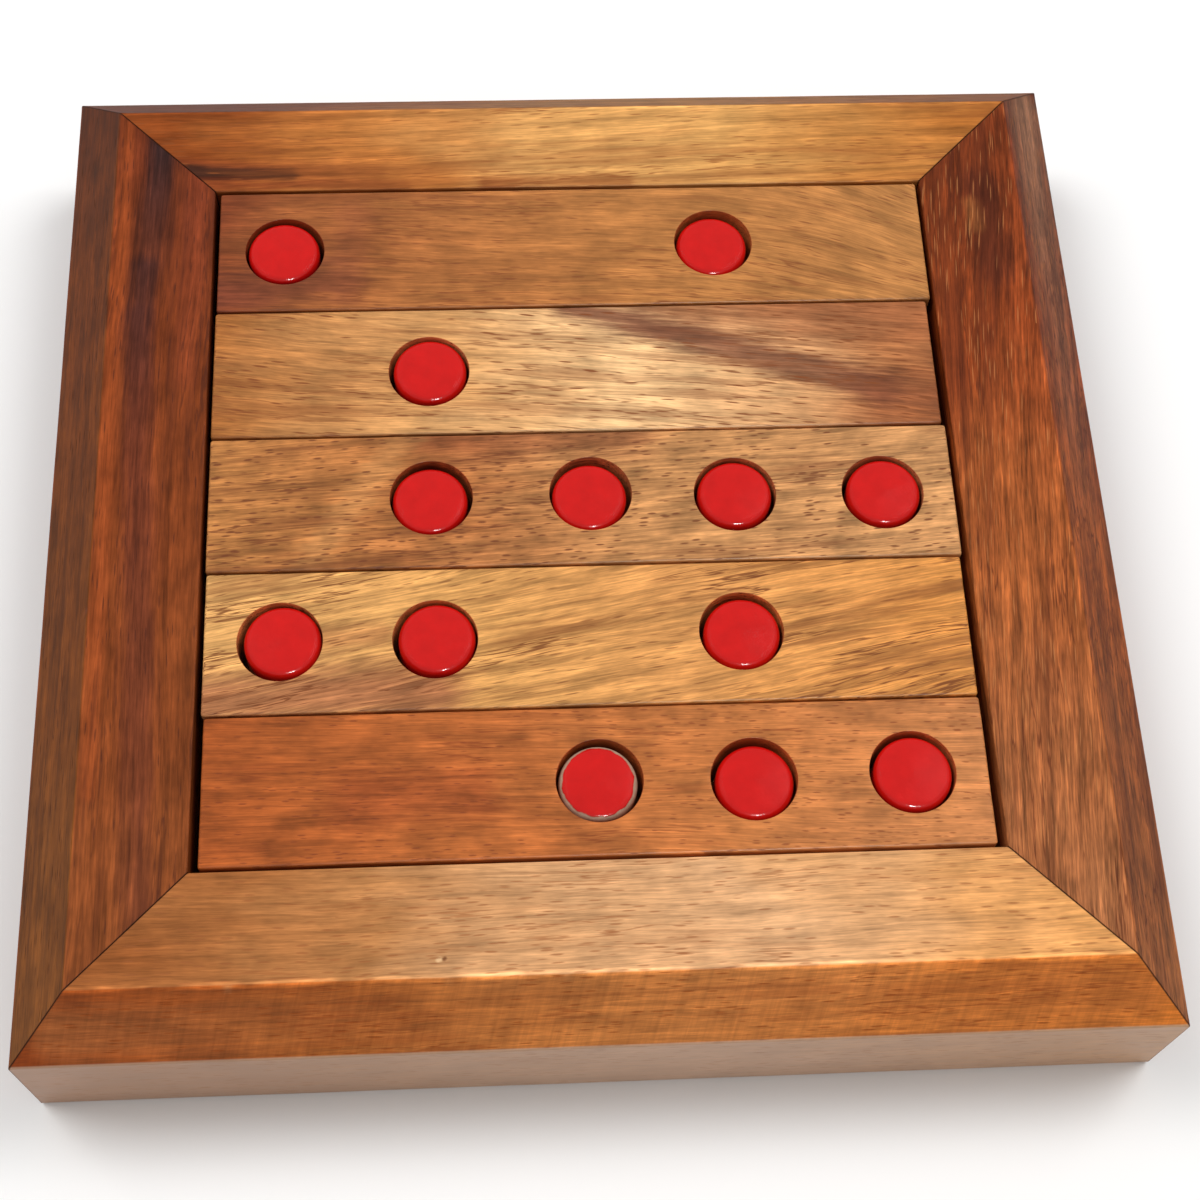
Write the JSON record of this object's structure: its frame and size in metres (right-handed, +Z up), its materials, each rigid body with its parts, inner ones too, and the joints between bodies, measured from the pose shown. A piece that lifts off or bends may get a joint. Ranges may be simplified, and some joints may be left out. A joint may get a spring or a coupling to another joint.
{
  "type": "peg and slat tray puzzle",
  "caption": "Square wooden tray puzzle: crossed layers of slats in a mitred, chamfered frame, with red pegs on the lower slats standing up through drilled holes in the upper slats.",
  "frame": {"origin": "centre of the square that the frame's underside stands on", "axes": "+Z up through the puzzle's face, which carries the upper slats and the peg ends; +X to the right, along the upper slats; +Y to the back, along the lower slats"},
  "size_m": [0.1442, 0.1442, 0.0272],
  "materials": {
    "golden_rail": "clear satin varnish",
    "dark_rail": "clear satin varnish",
    "floor_panel": "bare plywood",
    "lower_slat": "oiled",
    "brown_slat": "clear satin varnish",
    "pale_slat": "clear satin varnish",
    "golden_slat": "clear satin varnish",
    "reddish_slat": "clear satin varnish",
    "red_paint": "red gloss paint"
  },
  "bodies": {
    "tray": {"tray_floor": "floor_panel", "front_rail": "golden_rail", "right_rail": "dark_rail", "back_rail": "golden_rail", "left_rail": "dark_rail"},
    "peg_slat_1": {"peg_slat_1": "lower_slat", "peg_r1_c1": "red_paint", "peg_r4_c1": "red_paint"},
    "peg_slat_2": {"peg_slat_2": "lower_slat", "peg_r2_c2": "red_paint", "peg_r3_c2": "red_paint", "peg_r4_c2": "red_paint"},
    "peg_slat_3": {"peg_slat_3": "lower_slat", "peg_r3_c3": "red_paint", "peg_r5_c3": "red_paint"},
    "peg_slat_4": {"peg_slat_4": "lower_slat", "peg_r1_c4": "red_paint", "peg_r3_c4": "red_paint", "peg_r4_c4": "red_paint", "peg_r5_c4": "red_paint"},
    "peg_slat_5": {"peg_slat_5": "lower_slat", "peg_r3_c5": "red_paint", "peg_r5_c5": "red_paint"},
    "holed_slat_1": {"holed_slat_1": "brown_slat"},
    "holed_slat_2": {"holed_slat_2": "pale_slat"},
    "holed_slat_3": {"holed_slat_3": "brown_slat"},
    "holed_slat_4": {"holed_slat_4": "golden_slat"},
    "holed_slat_5": {"holed_slat_5": "reddish_slat"}
  },
  "joints": [
    {"name": "peg_slat_1_lift", "type": "slide", "parent": "tray", "child": "peg_slat_1", "axis": [0, 0, 1], "range_m": [0, 0.024]},
    {"name": "peg_slat_2_lift", "type": "slide", "parent": "peg_slat_1", "child": "peg_slat_2", "axis": [0, 0, 1], "range_m": [0, 0.024]},
    {"name": "peg_slat_3_lift", "type": "slide", "parent": "peg_slat_2", "child": "peg_slat_3", "axis": [0, 0, 1], "range_m": [0, 0.024]},
    {"name": "peg_slat_4_lift", "type": "slide", "parent": "peg_slat_3", "child": "peg_slat_4", "axis": [0, 0, 1], "range_m": [0, 0.024]},
    {"name": "peg_slat_5_lift", "type": "slide", "parent": "peg_slat_4", "child": "peg_slat_5", "axis": [0, 0, 1], "range_m": [0, 0.024]},
    {"name": "holed_slat_1_lift", "type": "slide", "parent": "peg_slat_5", "child": "holed_slat_1", "axis": [0, 0, 1], "range_m": [0, 0.014]},
    {"name": "holed_slat_2_lift", "type": "slide", "parent": "peg_slat_5", "child": "holed_slat_2", "axis": [0, 0, 1], "range_m": [0, 0.014]},
    {"name": "holed_slat_3_lift", "type": "slide", "parent": "peg_slat_5", "child": "holed_slat_3", "axis": [0, 0, 1], "range_m": [0, 0.014]},
    {"name": "holed_slat_4_lift", "type": "slide", "parent": "peg_slat_5", "child": "holed_slat_4", "axis": [0, 0, 1], "range_m": [0, 0.014]},
    {"name": "holed_slat_5_lift", "type": "slide", "parent": "peg_slat_5", "child": "holed_slat_5", "axis": [0, 0, 1], "range_m": [0, 0.014]}
  ]
}
